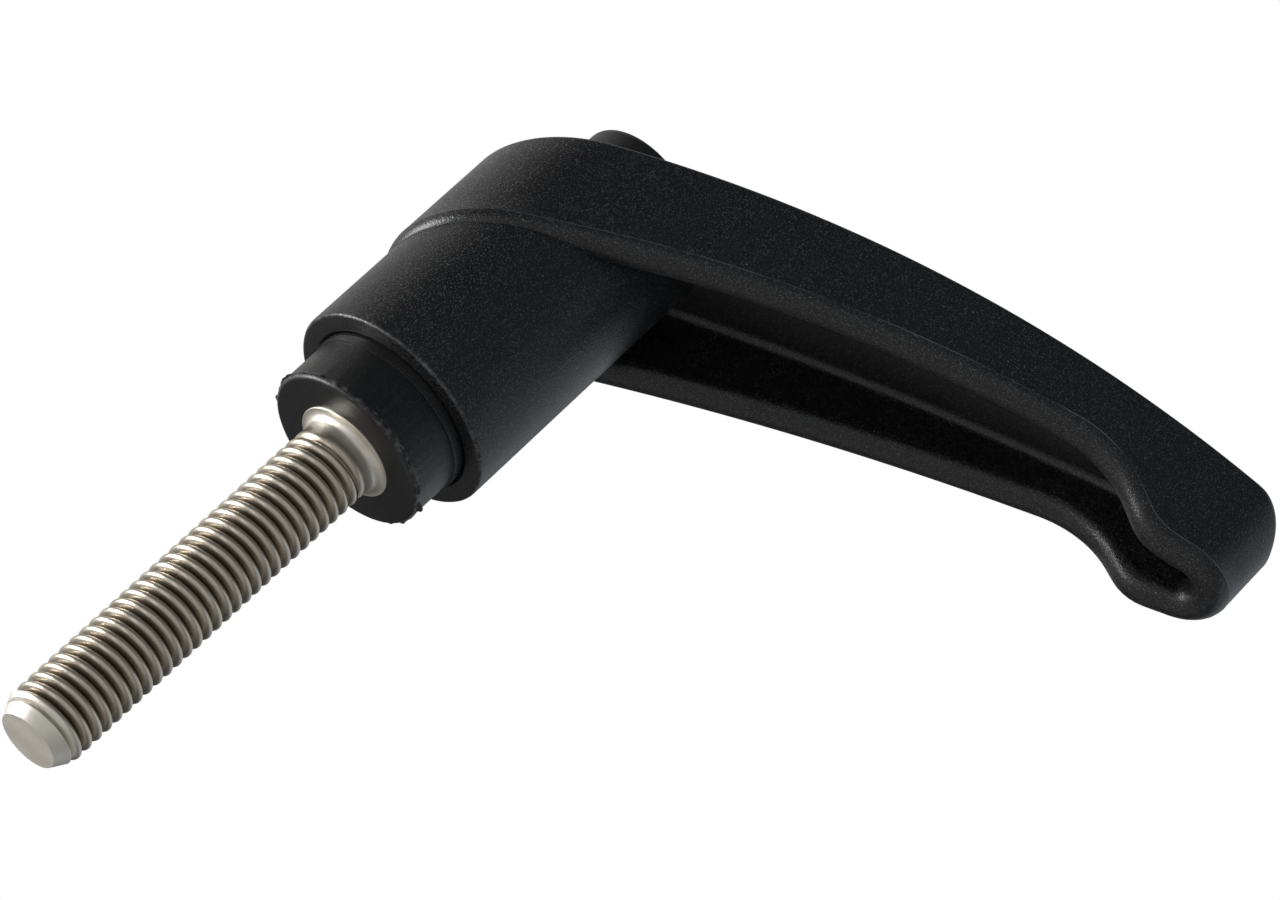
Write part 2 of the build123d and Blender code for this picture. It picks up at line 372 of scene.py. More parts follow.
@dataclass(frozen=True)
class Signal:
    """One output of a node. Arithmetic on it adds math nodes to its tree."""

    graph: "Graph"
    socket: Socket

    def __add__(self, other: object) -> "Signal":
        """Sum of the two."""
        return self.graph.maths("ADD", self, other)

    def __sub__(self, other: object) -> "Signal":
        """This less the other."""
        return self.graph.maths("SUBTRACT", self, other)

    def __rsub__(self, other: object) -> "Signal":
        """The other less this."""
        return self.graph.maths("SUBTRACT", other, self)

    def __mul__(self, other: object) -> "Signal":
        """Product of the two."""
        return self.graph.maths("MULTIPLY", self, other)

    def __truediv__(self, other: object) -> "Signal":
        """This over the other."""
        return self.graph.maths("DIVIDE", self, other)

    def most(self, other: object) -> "Signal":
        """The larger of the two."""
        return self.graph.maths("MAXIMUM", self, other)

    def clamped(self) -> "Signal":
        """This result, kept between 0 and 1."""
        self.socket.node.use_clamp = True
        return self

    def ramp(self, start: object, gain: float) -> "Signal":
        """0 up to start, and from there a rise by gain up to 1."""
        return ((self - start) * gain).clamped()


class Graph:
    """A node tree under construction."""

    def __init__(self, tree: Tree) -> None:
        """Work on a tree."""
        self.tree = tree

    def feed(self, target: Socket, value: object) -> None:
        """Link a signal to a socket, or set the socket's own value.

        Args:
            target: The socket.
            value: A signal, a number, a vector, or a colour with or without its alpha.
        """
        if isinstance(value, Signal):
            self.tree.links.new(value.socket, target)
        elif isinstance(target, bpy.types.NodeSocketColor) and len(value) == 3:
            target.default_value = (*value, 1.0)
        else:
            target.default_value = value

    def node(self, kind: str, inputs: dict[str | int, object] | None = None,
             **settings: object) -> bpy.types.Node:
        """Add a shader node.

        Args:
            kind: Blender's name of the node without its ShaderNode.
            inputs: What its inputs get, by name or number.
            **settings: Its properties.

        Returns:
            The node.
        """
        made = self.tree.nodes.new(f"ShaderNode{kind}")
        for name, value in settings.items():
            setattr(made, name, value)
        for name, value in (inputs or {}).items():
            self.feed(made.inputs[name], value)
        return made

    def out(self, node: bpy.types.Node, name: str | int = 0) -> Signal:
        """One output of a node, by name or number."""
        return Signal(self, node.outputs[name])

    def maths(self, operation: str, first: object, second: object) -> Signal:
        """Add a math node on signals or numbers."""
        return self.out(self.node("Math", {0: first, 1: second}, operation=operation))

    def mix(self, share: object, first: object, second: object, blend: str = "MIX") -> Signal:
        """Blend two colours."""
        inputs = {0: share, 6: first, 7: second}
        return self.out(self.node("Mix", inputs, data_type="RGBA", blend_type=blend), 2)

    def noise(self, place: Signal, scale: object, detail: float) -> Signal:
        """Add a noise texture."""
        inputs = {"Detail": detail, "Scale": scale, "Vector": place}
        return self.out(self.node("TexNoise", inputs, noise_dimensions="3D"))

    def bump(self, height: Signal, distance: float, strength: float) -> Signal:
        """Normal of a surface with a height on it."""
        inputs = {"Strength": strength, "Distance": distance, "Height": height}
        return self.out(self.node("Bump", inputs), "Normal")


class NodeGroup(Graph):
    """A shader node group under construction, which reads a place and named numbers."""

    def __init__(self, name: str, **inputs: float) -> None:
        """Start a group.

        Args:
            name: The group's name.
            **inputs: Its numbers, with their defaults.
        """
        super().__init__(bpy.data.node_groups.new(name, "ShaderNodeTree"))
        self.given = self.tree.nodes.new("NodeGroupInput")
        self.socket("Place", "INPUT", "Vector")
        for title, default in inputs.items():
            self.socket(title, "INPUT").default_value = default
        self.place = self.read("Place")

    def socket(self, name: str, way: str, kind: str = "Float") -> bpy.types.NodeTreeInterfaceSocket:
        """Add a named socket to the group."""
        return self.tree.interface.new_socket(name, in_out=way, socket_type=f"NodeSocket{kind}")

    def read(self, name: str) -> Signal:
        """One input of the group."""
        return self.out(self.given, name)

    def finish(self, **outputs: Signal) -> Tree:
        """Give the group its outputs.

        Args:
            **outputs: What each named output gives.

        Returns:
            The group's tree.
        """
        end = self.tree.nodes.new("NodeGroupOutput")
        for name, value in outputs.items():
            self.socket(name, "OUTPUT")
            self.feed(end.inputs[name], value)
        return self.tree

    def cylindrical(self) -> tuple[Signal, Signal]:
        """Split the place into its distance from the clamping axis and its height.

        Returns:
            The distance and the height.
        """
        split = self.node("SeparateXYZ", {0: self.place})
        x, y, z = (self.out(split, axis) for axis in range(3))
        return self.length(x, y), z

    def length(self, first: Signal, second: Signal) -> Signal:
        """Length of the longest side of a right-angled triangle."""
        return self.maths("SQRT", first * first + second * second, 0.0)

    def specks(self, place: Signal, scale: float, density: Signal, size: float) -> Signal:
        """Add dots in a random choice of cells.

        Args:
            place: Where to read the pattern.
            scale: Cells per metre.
            density: Share of the cells that hold a dot.
            size: Largest dot as a share of its cell.

        Returns:
            A mask that is 1 on the dots.
        """
        inputs = {"Scale": scale, "Vector": place}
        cells = self.node("TexVoronoi", inputs, feature="F1", voronoi_dimensions="3D")
        chosen = self.node("SeparateColor", {0: self.out(cells, "Color")})
        picked = self.maths("LESS_THAN", self.out(chosen, 0), density)
        near = self.maths("LESS_THAN", self.out(cells, "Distance"), self.out(chosen, 1) * size)
        return picked * near


class Surface(Graph):
    """A material under construction, with its Principled BSDF and its object coordinates."""

    def __init__(self, name: str) -> None:
        """Start a material.

        Args:
            name: The material's name.
        """
        self.material = bpy.data.materials.new(name)
        self.material.use_nodes = True
        super().__init__(self.material.node_tree)
        self.shader = self.tree.nodes["Principled BSDF"]
        self.place = self.out(self.node("TexCoord"), "Object")

    def use(self, group: Tree, **inputs: object) -> bpy.types.Node:
        """Place a node group that reads the object coordinates."""
        return self.node("Group", {"Place": self.place, **inputs}, node_tree=group)

    def shade(self, inputs: dict[str, object]) -> Material:
        """Feed the shader's own sockets.

        Args:
            inputs: What they get, by name.

        Returns:
            The material.
        """
        for name, value in inputs.items():
            self.feed(self.shader.inputs[name], value)
        return self.material


# ---- node groups

def moulded_grain_group() -> Tree:
    """Spark-eroded mould grain: a pebbled height, a mask of its crests, which carry a painted glint, and
    slow patches.

    Returns:
        The group's tree.
    """
    group = NodeGroup("moulded_grain", Scale=4000.0)
    place, scale = group.place, group.read("Scale")
    # Crests of the grain, where the finish paints a lighter glint.
    glint_crests = group.noise(place, scale * CREST_FINENESS, detail=1.0).ramp(start=0.565, gain=9.0)
    return group.finish(Height=group.noise(place, scale, detail=1.6), Crests=glint_crests,
                        Patches=group.noise(place, scale=160.0, detail=2.0))


def dust_group() -> Tree:
    """Sparse pale specks and short fibres: one mask from 0 to 1.

    Returns:
        The group's tree.
    """
    group = NodeGroup("dust_and_scratches", Density=0.06)
    place, density = group.place, group.read("Density")
    stretch = {"Rotation": FIBRE_TURN, "Scale": FIBRE_STRETCH, "Vector": place}
    stretched = group.out(group.node("Mapping", stretch, vector_type="POINT"))
    dots = group.specks(place, scale=1500.0, density=density, size=0.13)
    fibres = group.specks(stretched, scale=700.0, density=density * FIBRE_SHARE, size=0.05)
    return group.finish(Mask=dots.most(fibres))


def ring_wear_group() -> Tree:
    """Uneven pale wear along a round edge about the clamping axis.

    Returns:
        The group's tree.
    """
    group = NodeGroup("ring_wear", Radius=0.01, Height=0.0, Width=0.0003)
    across, height = group.cylindrical()
    away = group.length(across - group.read("Radius"), height - group.read("Height"))
    chips = group.noise(group.place, scale=1500.0, detail=4.0).ramp(start=0.46, gain=5.0)
    return group.finish(Mask=(1.0 - away / group.read("Width")).clamped() * chips)


def turned_lines_group() -> Tree:
    """Fine tool lines round the clamping axis: a height, slow shading and small nicks.

    Returns:
        The group's tree.
    """
    group = NodeGroup("turned_lines", Pitch=9000.0)
    across, height = group.cylindrical()
    section = group.out(group.node("CombineXYZ", {0: across, 1: height}))
    nicks = group.noise(group.place, scale=2600.0, detail=4.0).ramp(start=0.6, gain=6.0)
    return group.finish(Height=group.noise(section, group.read("Pitch"), detail=3.0),
                        Shade=group.noise(group.place, scale=420.0, detail=3.0), Nicks=nicks)


def thread_rolled_and_shade_group() -> Tree:
    """Where a shank is rolled: 1 along the thread, and how deep a point lies in it, which sets the
    painted shade in the roots.

    Returns:
        The group's tree.
    """
    group = NodeGroup("thread_rolled_and_shade", Crest=0.004, Depth=0.0007, Low=-0.038, High=-0.002)
    across, height = group.cylindrical()
    share = ((group.read("Crest") - across) / group.read("Depth")).clamped()
    above_tip = height.ramp(group.read("Low"), gain=3000.0)
    under_neck = ((group.read("High") - height) * NECK_GAIN).clamped()
    rolled = above_tip * under_neck
    # Share sets how much painted shade a point gets in the thread's roots.
    return group.finish(Rolled=rolled, Share=rolled * share)


@dataclass
class Groups:
    """The shader node groups that the finishes share."""

    grain: Tree = field(default_factory=moulded_grain_group)
    dust: Tree = field(default_factory=dust_group)
    wear: Tree = field(default_factory=ring_wear_group)
    lines: Tree = field(default_factory=turned_lines_group)
    rolled_and_shade: Tree = field(default_factory=thread_rolled_and_shade_group)


# ---- finishes

@dataclass(frozen=True)
class WornEdge:
    """A round edge about the clamping axis that is worn pale."""

    radius: float
    height: float
    width: float


@dataclass(frozen=True)
class MouldedPlastic:
    """Black glass-filled plastic with the grain of its mould, whose crests are painted lighter as a
    glint.
    """

    name: str
    # Lighter colour of the grain's crests: partly the grain's own tone, partly a painted glint.
    grain_and_glint_colour: Colour
    roughness: float
    grain_depth: float
    dust: float
    edges: tuple[WornEdge, ...] = ()
    colour: Colour = BLACK
    worn_colour: Colour = (0.15, 0.15, 0.147)
    dust_colour: Colour = (0.25, 0.25, 0.24)
    grain_scale: float = 5600.0
    patch_rough: float = 0.14
    crest_gloss: float = 0.10
    rough_shift: float = 0.05
    seam_from: float = 0.36
    seam_gain: float = 4.0

    def build(self, groups: Groups) -> Material:
        """Make the material.

        Args:
            groups: The shared node groups.

        Returns:
            The material.
        """
        surface = Surface(self.name)
        grain = surface.use(groups.grain, Scale=self.grain_scale)
        height, glint_crests, patches = (surface.out(grain, name) for name in ("Height", "Crests", "Patches"))
        specks = surface.out(surface.use(groups.dust, Density=self.dust))
        seam = surface.out(surface.node("Attribute", attribute_name="seam"), "Fac")
        worn = seam * patches.ramp(self.seam_from, self.seam_gain)
        for edge in self.edges:
            ring = surface.use(groups.wear, Radius=edge.radius, Height=edge.height, Width=edge.width)
            worn = worn.most(surface.out(ring))
        # The grain's crests are painted lighter: partly the grain's own tone, partly a painted glint
        # that stands in for the sparkle of its facets.
        coloured = surface.mix(glint_crests, self.colour, self.grain_and_glint_colour)
        coloured = surface.mix(worn, coloured, self.worn_colour)
        rough = patches * self.patch_rough - glint_crests * self.crest_gloss
        return surface.shade({"Base Color": surface.mix(specks, coloured, self.dust_colour),
                              "Roughness": rough + (self.roughness - self.rough_shift),
                              "Normal": surface.bump(height, self.grain_depth, strength=1.0)})


@dataclass(frozen=True)
class TurnedSteel:
    """Stainless steel with fine tool lines round the axis, and painted shade in the roots of a thread.
    """

    name: str
    colour: Colour
    dark: Colour
    # Colour of the painted shade in the roots of a thread.
    root_shade: Colour
    roughness: float
    line_depth: float
    rolled: Colour = (0.5, 0.5, 0.5)
    crest: float = 1.0
    depth: float = 1.0
    low: float = 0.0
    high: float = 0.0
    satin: float = 0.0
    shade_from: float = 0.35
    shade_gain: float = 2.6
    line_rough: float = 0.14
    nick_rough: float = 0.18
    rough_shift: float = 0.07
    nick_depth: float = 0.15

    def build(self, groups: Groups) -> Material:
        """Make the material.

        Args:
            groups: The shared node groups.

        Returns:
            The material.
        """
        surface = Surface(self.name)
        texture = surface.use(groups.lines)
        lines, shade, nicks = (surface.out(texture, name) for name in ("Height", "Shade", "Nicks"))
        rolled_and_shade = surface.use(groups.rolled_and_shade, Crest=self.crest, Depth=self.depth, Low=self.low, High=self.high)
        rolled = surface.out(rolled_and_shade, "Rolled")
        plain = surface.mix(shade.ramp(self.shade_from, self.shade_gain), self.dark, self.colour)
        tinted = surface.mix(1.0, plain, surface.mix(rolled, WHITE, self.rolled), blend="MULTIPLY")
        rough = lines * self.line_rough + nicks * self.nick_rough + (1.0 - rolled) * self.satin
        # The roots are painted darker as shade, on top of the shade that the thread's own shape casts.
        return surface.shade({"Base Color": surface.mix(surface.out(rolled_and_shade, "Share"), tinted, self.root_shade),
                              "Metallic": 1.0,
                              "Roughness": rough + (self.roughness - self.rough_shift),
                              "Normal": surface.bump(lines - nicks * self.nick_depth, self.line_depth,
                                                     strength=0.6)})


# ---- the lever's moulding

@dataclass(frozen=True)
class Station:
    """One place on the arm's outline, with the way inwards from it."""

    x: float
    y: float
    inward_x: float
    inward_y: float

    def inset(self, depth: float) -> tuple[float, float]:
        """The point this far in from the outline."""
        return self.x + self.inward_x * depth, self.y + self.inward_y * depth

    def mirrored(self) -> "Station":
        """The same place on the other side of the arm."""
        return Station(self.x, -self.y, self.inward_x, -self.inward_y)


@dataclass
class Lever:
    """Hub and hollow arm, moulded in one piece."""

    EDGE_STEPS: ClassVar[int] = 5
    WALL_SHARES: ClassVar[tuple[float, ...]] = (0.25, 0.5, 0.75)
    INNER_SHARES: ClassVar[tuple[float, ...]] = (0.0, 0.33, 0.66)
    SEAM_ROW: ClassVar[int] = EDGE_STEPS + 1 + len(WALL_SHARES) + 1
    back_radius: float = 11.0 * MM
    tip_radius: float = 5.33 * MM
    tip_x: float = 61.2 * MM
    side_radius: float = 292.0 * MM
    outline_steps: tuple[int, int, int] = (48, 90, 36)
    wall: float = 3.42 * MM
    rim_radius: float = 1.69 * MM
    rim_steps: int = 16
    crown_wall: float = 2.8 * MM
    crown_radius: float = 180.0 * MM
    crown_centre: tuple[float, float] = (73.06 * MM, -128.8 * MM)
    crown_edge: float = 0.6 * MM
    corner_radius: float = 3.9 * MM
    corner_end: float = 66.88 * MM
    belly_radius: float = 179.3 * MM
    belly_centre: tuple[float, float] = (89.96 * MM, -130.6 * MM)
    belly_end: float = 46.9 * MM
    crest_radius: float = 11.2 * MM
    crest_drop: float = 30.0
    drop_length: float = 1.4 * MM
    heel_radius: float = 5.1 * MM
    heel_rise: float = 12.4
    channel_fillet: float = 1.0 * MM
    fillet_steps: int = 4
    hub_radius: float = 10.42 * MM
    hub_bottom: float = 6.2 * MM
    hub_edge: float = 0.35 * MM
    hub_edge_steps: int = 4
    bore_radius: float = 8.41 * MM
    bore_mouth: float = 0.25 * MM
    teeth_from: float = 12.8 * MM
    tooth_play: float = 0.7
    web_bottom: float = 17.3 * MM
    web_top: float = 20.3 * MM
    screw_hole: float = 2.56 * MM
    well_radius: float = 6.25 * MM
    turn_steps: int = 192
    seam_height: float = 0.05 * MM
    seam_half_width: float = 0.07 * MM
    seam_mean: float = 0.55
    seam_swing: float = 0.45
    seam_scale: float = 350.0

    # -- the arm seen from above and from the side

    def half_outline(self) -> list[Station]:
        """Walk from the back of the hub to the tip, along the far side.

        Returns:
            The stations in order.
        """
        to_back = self.side_radius - self.back_radius
        to_tip = self.side_radius - self.tip_radius
        centre_x = (to_back ** 2 - to_tip ** 2 + self.tip_x ** 2) / (2 * self.tip_x)
        centre_y = -math.sqrt(to_back ** 2 - centre_x ** 2)
        back_turn = math.degrees(math.atan2(-centre_y, -centre_x))
        tip_turn = math.degrees(math.atan2(-centre_y, self.tip_x - centre_x))
        arcs = [
            ((0.0, 0.0), self.back_radius, 180.0, back_turn),
            ((centre_x, centre_y), self.side_radius, back_turn, tip_turn),
            ((self.tip_x, 0.0), self.tip_radius, tip_turn, 0.0),
        ]
        found: list[Station] = []
        for (centre, radius, start, end), count in zip(arcs, self.outline_steps):
            points = arc(centre, radius, start, end, count)
            for x, y in points[1:] if found else points:
                found.append(Station(x, y, (centre[0] - x) / radius, (centre[1] - y) / radius))
        return found

    def crown_height(self, x: float) -> float:
        """Find the top face, with the tip's corner rounded.

        Args:
            x: Place along the arm.

        Returns:
            The height over the seat face.
        """
        cx = self.crown_centre[0]
        corner_x = self.corner_end - self.corner_radius
        inner = self.crown_radius - self.corner_radius
        if x <= cx + (corner_x - cx) * self.crown_radius / inner:
            return over(self.crown_centre, self.crown_radius, x)
        reach = min(x - corner_x, self.corner_radius)
        return over((0.0, over(self.crown_centre, inner, corner_x)), self.corner_radius, reach)

    def rim_height(self, x: float) -> float:
        """Find the middle of the rim: belly, crest, fall, heel and rise.

        Args:
            x: Place along the arm.

        Returns:
            The height over the seat face.
        """
        if x <= self.belly_end:
            return over(self.belly_centre, self.belly_radius, x)
        tilt = math.asin((self.belly_end - self.belly_centre[0]) / self.belly_radius)
        belly_z = self.belly_centre[1] + self.belly_radius * math.cos(tilt)
        drop, rise = math.radians(self.crest_drop), math.radians(self.heel_rise)
        crest_x = self.belly_end - self.crest_radius * math.sin(tilt)
        crest_z = belly_z - self.crest_radius * math.cos(tilt)
        end_x = crest_x + self.crest_radius * math.sin(drop)
        end_z = crest_z + self.crest_radius * math.cos(drop)
        if x <= end_x:
            return over((crest_x, crest_z), self.crest_radius, x)
        fall_x = end_x + self.drop_length * math.cos(drop)
        fall_z = end_z - self.drop_length * math.sin(drop)
        if x <= fall_x:
            return end_z - (x - end_x) * math.tan(drop)
        heel_x = fall_x + self.heel_radius * math.sin(drop)
        heel_z = fall_z + self.heel_radius * math.cos(drop)
        out_x = heel_x + self.heel_radius * math.sin(rise)
        if x <= out_x:
            return heel_z - math.sqrt(self.heel_radius ** 2 - (x - heel_x) ** 2)
        return heel_z - self.heel_radius * math.cos(rise) + (x - out_x) * math.tan(rise)

    # -- rows of the wall's section

    def section(self, station: Station) -> list[Vector]:
        """The wall's section at a station.

        Args:
            station: Where the arm is cut, square to its outline.

        Returns:
            Points from the crown round the rim to the roof of the channel.
        """
        edge, rim, wall, fillet = self.crown_edge, self.rim_radius, self.wall, self.channel_fillet
        rim_z = self.rim_height(station.inset(rim)[0])
        top = self.crown_height(station.x) - edge
        roof = self.crown_height(station.inset(wall)[0]) - self.crown_wall - fillet
        half = self.seam_half_width
        points = self.below_crown(station, arc((edge, -edge), edge, 90, 180, self.EDGE_STEPS))
        points += [(0.0, top + (rim_z - top) * share) for share in self.WALL_SHARES]
        points += [(0.0, rim_z + half), (-self.seam_size(station), rim_z), (0.0, rim_z - half)]
        points += arc((rim, rim_z), rim, 180, 360, self.rim_steps)[1:]
        points += [(wall, rim_z + (roof - rim_z) * share) for share in self.INNER_SHARES]
        round_roof = arc((wall + fillet, -self.crown_wall - fillet), fillet, 180, 90, self.fillet_steps)
        points += self.below_crown(station, round_roof)
        return [Vector((*station.inset(depth), z)) for depth, z in points]

    def below_crown(self, station: Station, points: Points) -> Points:
        """Turn heights that are counted from the crown into heights from the seat face."""
        return [(depth, self.crown_height(station.inset(depth)[0]) + drop) for depth, drop in points]

    def seam_size(self, station: Station) -> float:
        """How far the mould's parting line stands out at a station, which varies along it."""
        swing = self.seam_swing * ripple(Vector((station.x, station.y, 0)), self.seam_scale)
        return self.seam_height * (self.seam_mean + swing)

    def arm(self) -> BMesh:
        """Carry the sections' first points down the wall and back up inside it.

        Returns:
            Wall, crown and roof as a closed bmesh.
        """
        bm = bmesh.new()
        half = self.half_outline()
        sections = [self.section(s) for s in half + [s.mirrored() for s in reversed(half[1:-1])]]
        crown = loop = add_chain(bm, [points[0] for points in sections], closed=True)
        for row in range(1, len(sections[0])):
            made = bmesh.ops.extrude_edge_only(bm, edges=loop)["geom"]
            loop = open_edges(made)
            places = {key(points[row - 1]): points[row] for points in sections}
            for vert in verts_in(made):
                vert.co = places[key(vert.co)]
        self.close_across(bm, crown)
        self.close_across(bm, loop)
        return close_mesh(bm)

    @staticmethod
    def close_across(bm: BMesh, loop: list) -> None:
        """Fill a loop with strips that run straight across the arm.

        Args:
            bm: The arm.
            loop: The edges round the gap.
        """
        verts = sorted({v for e in loop for v in e.verts}, key=lambda v: v.co.x)
        near = [v for v in verts if v.co.y < -MERGE]
        far = [v for v in verts if v.co.y > MERGE]
        middle = [v for v in verts if abs(v.co.y) <= MERGE]
        for i in range(len(near) - 1):
            bm.faces.new((near[i], near[i + 1], far[i + 1], far[i]))
        bm.faces.new((middle[0], near[0], far[0]))
        bm.faces.new((middle[-1], far[-1], near[-1]))

    # -- hub and bore

    def hub(self) -> BMesh:
        """Make the hub's solid core, which reaches into the roof of the arm.

        Returns:
            The core as a closed bmesh.
        """
        edge, top = self.hub_edge, self.web_top
        centre = (self.hub_radius - edge, self.hub_bottom + edge)
        rounded = arc(centre, edge, 270, 360, self.hub_edge_steps)
        profile = [(0.0, self.hub_bottom), *rounded, (self.hub_radius, top), (0.0, top)]
        bm = lathe(profile, self.turn_steps)
        for vert in bm.verts:
            if vert.co.z > top - MERGE:
                vert.co.z = self.crown_height(vert.co.x) - self.crown_wall / 2
        return bm

    def bore_tools(self) -> list[BMesh]:
        """Make the closed shapes that are cut out of the hub.

        Returns:
            Bore, teeth, screw hole and button well.
        """
        radius, mouth, wide = self.bore_radius, self.bore_mouth, self.bore_radius + self.bore_mouth
        low = self.hub_bottom - self.web_top
        sky = self.crown_height(self.tip_x) + self.wall
        bore = [(0, low), (wide, low), (wide, self.hub_bottom), (radius, self.hub_bottom + mouth),
                (radius, self.teeth_from), (0, self.teeth_from)]
        screw = [(0, self.teeth_from), (self.screw_hole, self.teeth_from),
                 (self.screw_hole, self.web_top + mouth), (0, self.web_top + mouth)]
        well = [(0, self.web_top), (self.well_radius, self.web_top), (self.well_radius, sky), (0, sky)]
        return [lathe(bore, self.turn_steps),
                toothed_prism(radius, self.tooth_play, self.teeth_from - mouth, self.web_bottom),
                lathe(screw, self.turn_steps // 3),
                lathe(well, self.turn_steps)]

    def mark_seam(self, piece: Piece) -> None:
        """Store where the mould's parting line runs, as an attribute for the finish.

        Args:
            piece: The moulding.
        """
        seam = {key(self.section(s)[self.SEAM_ROW])
                for half in self.half_outline() for s in (half, half.mirrored())}
        marks = piece.data.attributes.new("seam", "FLOAT", "POINT")
        for vert in piece.data.vertices:
            marks.data[vert.index].value = float(key(vert.co) in seam)

    def build(self, material: Material) -> Piece:
        """Make the moulding and set it on its body.

        Args:
            material: Its finish.

        Returns:
            The moulding.
        """
        piece = make_object("lever_moulding", self.arm())
        carve(piece, self.hub(), Cut.JOIN)
        for tool in self.bore_tools():
            carve(piece, tool, Cut.REMOVE)
        self.mark_seam(piece)
        keep_inside(piece, "lever_body")
        smooth(piece, sharp_angle=32)
        dress(piece, material)
        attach(piece, "lever")
        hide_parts("lever_body")
        return piece


# ---- sleeve, stud, spring and button

@dataclass
class Sleeve:
    """Plastic sleeve round the stud's head: its foot shows below the hub."""

    radius: float = 8.35 * MM
    foot_radius: float = 8.2 * MM
    foot_top: float = 5.2 * MM
    step_height: float = 0.15 * MM
    step_bevel: float = 0.03 * MM
    setback: float = 0.15 * MM
    edge: float = 0.5 * MM
    edge_steps: int = 6
    hole: float = 4.89 * MM
    tooth_bottom: float = 12.5 * MM
    top: float = 17.0 * MM
    groove_z: float = 0.52 * MM
    groove_depth: float = 0.16 * MM
    groove_width: float = 0.08 * MM
    flash: float = 0.04 * MM
    flash_rows: tuple[float, float] = (0.04 * MM, 0.16 * MM)
    flash_end: float = 0.34 * MM
    burr_band: tuple[float, float] = (0.02 * MM, 0.25 * MM)
    lump: tuple[float, float] = (700.0, 0.8 * MM)
    lump_from: float = 0.08
    fine: tuple[float, float] = (2600.0, 0.06 * MM)
    lean: tuple[float, float] = (1700.0, 0.08 * MM)
    steps: int = 288

    def profile(self) -> Points:
        """Draw the section up to the teeth, with a groove and a line of flash at the foot.

        Returns:
            Radius and height of its points.
        """
        foot, z, step_z = self.foot_radius, self.groove_z, self.foot_top + self.step_height
        centre = (foot - self.edge, self.setback + self.edge)
        rounded = arc(centre, self.edge, 270, 350, self.edge_steps)
        groove = [(foot - self.groove_depth, z - self.groove_width), (foot - self.groove_depth, z)]
        flash = [(foot + self.flash, z + rise) for rise in self.flash_rows]
        band = [(foot, z + self.flash_end), (foot, self.foot_top),
                (self.radius - self.step_bevel, self.foot_top + self.step_bevel), (self.radius, step_z)]
        return [(self.hole, self.setback), *rounded, *groove, *flash, *band,
                (self.radius, self.tooth_bottom), (self.hole, self.tooth_bottom)]

    def raise_flash(self, bm: BMesh) -> None:
        """Push the flash line in and out unevenly, with a few larger burrs.

        Args:
            bm: The sleeve.
        """
        low, high = (self.groove_z + rise for rise in self.burr_band)
        for vert in bm.verts:
            if low < vert.co.z < high and vert.co.xy.length > self.foot_radius:
                place = flat(vert.co)
                lump = max(0.0, ripple(place, self.lump[0]) - self.lump_from) * self.lump[1]
                fine = ripple(place, self.fine[0]) * self.fine[1]
                lean = ripple(place, self.lean[0]) * self.lean[1]
                vert.co += place.normalized() * (lump + fine) + Vector((0, 0, lean))

    def build(self, material: Material) -> Piece:
        """Make the sleeve and set it on its body.

        Args:
            material: Its finish.

        Returns:
            The sleeve.
        """
        bm = lathe(self.profile(), self.steps, closed=True)
        self.raise_flash(bm)
        join_mesh(bm, toothed_prism(self.radius, 0.0, self.tooth_bottom, self.top))
        piece = make_piece("sleeve_moulding", bm, sharp_angle=30, material=material)
        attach(piece, "insert")
        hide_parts("toothed_sleeve")
        return piece


